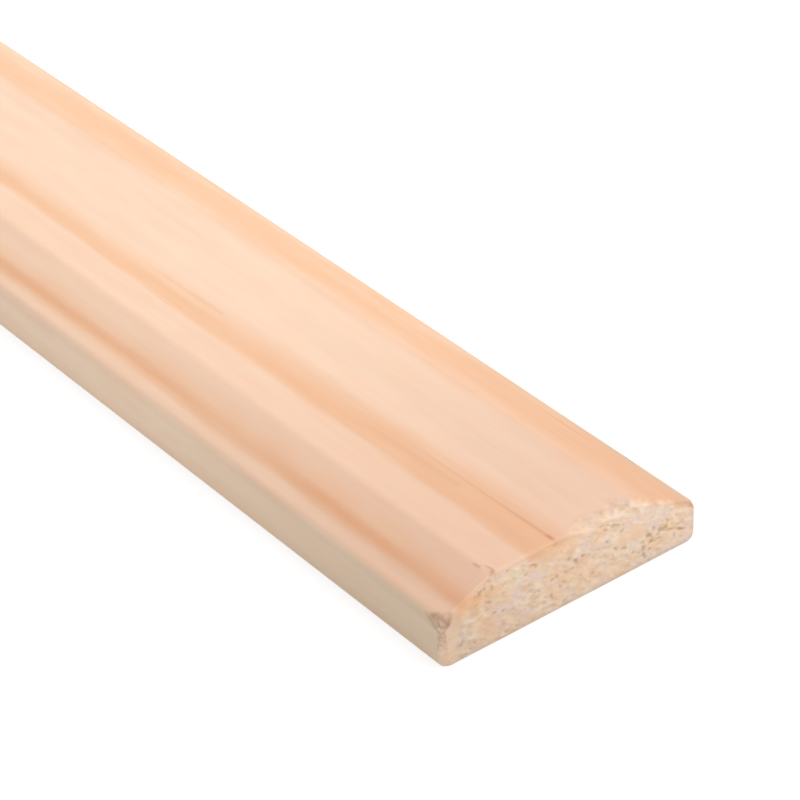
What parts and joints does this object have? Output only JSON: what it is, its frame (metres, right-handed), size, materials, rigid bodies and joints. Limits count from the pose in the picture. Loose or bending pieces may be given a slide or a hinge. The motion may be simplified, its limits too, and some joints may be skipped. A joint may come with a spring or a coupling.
{
  "type": "cover strip",
  "caption": "Pine cover strip: flat back, low upright edges with rounded corners, two shallow bevels and a flat face, sawn square at both ends.",
  "frame": {"origin": "centre of the flat back, halfway along the length", "axes": "+X along the length towards the end with the torn splinter, +Y across the width, +Z out of the face, away from the wall it covers"},
  "size_m": [2.4, 0.034, 0.009],
  "materials": {
    "pine": "matte"
  },
  "bodies": {
    "root": {"cover_strip": "pine"}
  },
  "joints": []
}
